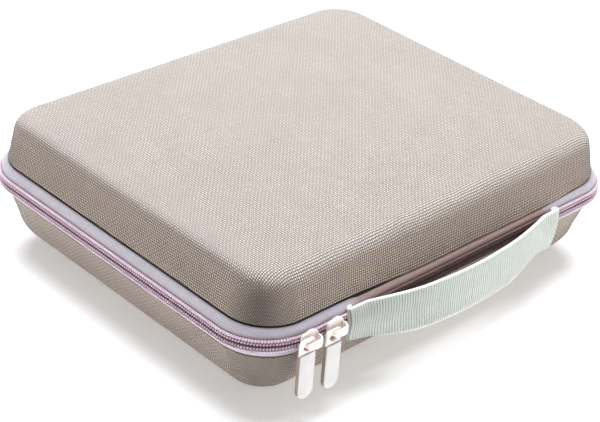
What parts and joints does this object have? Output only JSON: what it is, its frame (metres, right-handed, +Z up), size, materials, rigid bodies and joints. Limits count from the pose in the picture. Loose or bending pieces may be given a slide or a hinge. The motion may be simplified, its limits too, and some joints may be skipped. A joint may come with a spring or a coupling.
{
  "type": "zipped hard carrying case",
  "caption": "Moulded hard-shell zip case with a pocketed foam insert, a cloth hinge, zip sliders with hanging pulls and a webbing strap handle.",
  "frame": {"origin": "middle of the base's flat underside", "axes": "+Z up, -Y towards the side with the handle and sliders, +Y towards the hinge, +X to the right seen from the handle side"},
  "size_m": [0.2584, 0.2294, 0.0747],
  "materials": {
    "shell_fabric": "woven, matt",
    "lining_fabric": "brushed",
    "insert_foam": "matt foam",
    "zip_tape": "twill, slight sheen",
    "coil_nylon": "satin",
    "binding_fabric": "matt",
    "mesh_fabric": "matt",
    "webbing": "ribbed, matt",
    "slider_paint": "satin",
    "grip_plastic": "satin"
  },
  "bodies": {
    "base": {"base_shell": "shell_fabric", "base_lining": "lining_fabric", "foam_insert": "insert_foam", "device_pad": "lining_fabric", "base_zip_tape": "zip_tape", "base_zip_coil": "coil_nylon", "base_binding": "binding_fabric", "base_hinge_cloth": "shell_fabric", "zip_stop_left": "slider_paint", "zip_stop_right": "slider_paint", "handle_end_left": "webbing", "handle_end_right": "webbing"},
    "lid": {"lid_shell": "shell_fabric", "lid_lining": "lining_fabric", "lid_zip_tape": "zip_tape", "lid_zip_coil": "coil_nylon", "lid_binding": "binding_fabric", "lid_hinge_cloth": "shell_fabric", "mesh_pocket": "mesh_fabric", "mesh_pocket_elastic": "binding_fabric"},
    "slider_left": {"slider_left_body": "slider_paint", "slider_left_inner_plate": "slider_paint", "slider_left_bridge": "slider_paint"},
    "slider_right": {"slider_right_body": "slider_paint", "slider_right_inner_plate": "slider_paint", "slider_right_bridge": "slider_paint"},
    "pull_left": {"pull_left_plate": "slider_paint", "pull_left_grip": "grip_plastic"},
    "pull_right": {"pull_right_plate": "slider_paint", "pull_right_grip": "grip_plastic"},
    "handle": {"handle_strap": "webbing"}
  },
  "joints": [
    {"name": "lid_hinge", "type": "hinge", "parent": "base", "child": "lid", "pos_m": [0, 0.1096, 0.04225], "axis": [-1, 0, 0], "range_deg": [0, 175]},
    {"name": "left_slider_turn", "type": "hinge", "parent": "base", "child": "slider_left", "pos_m": [-0.0997, -0.0797, 0.04225], "axis": [0, 0, -1], "range_deg": [0, 87]},
    {"name": "right_slider_run", "type": "slide", "parent": "base", "child": "slider_right", "axis": [1, 0, 0], "range_m": [-0.002, 0.003]},
    {"name": "left_pull_swing", "type": "hinge", "parent": "slider_left", "child": "pull_left", "pos_m": [-0.10419, -0.11261, 0.04225], "axis": [-0.0209, -0.9998, 0], "range_deg": [-75, 2]},
    {"name": "right_pull_swing", "type": "hinge", "parent": "slider_right", "child": "pull_right", "pos_m": [-0.0883, -0.1127, 0.04225], "axis": [0, -1, 0], "range_deg": [-2, 10]},
    {"name": "handle_swing", "type": "hinge", "parent": "base", "child": "handle", "pos_m": [0, -0.1111, 0.028], "axis": [1, 0, 0], "range_deg": [-2, 60]}
  ]
}
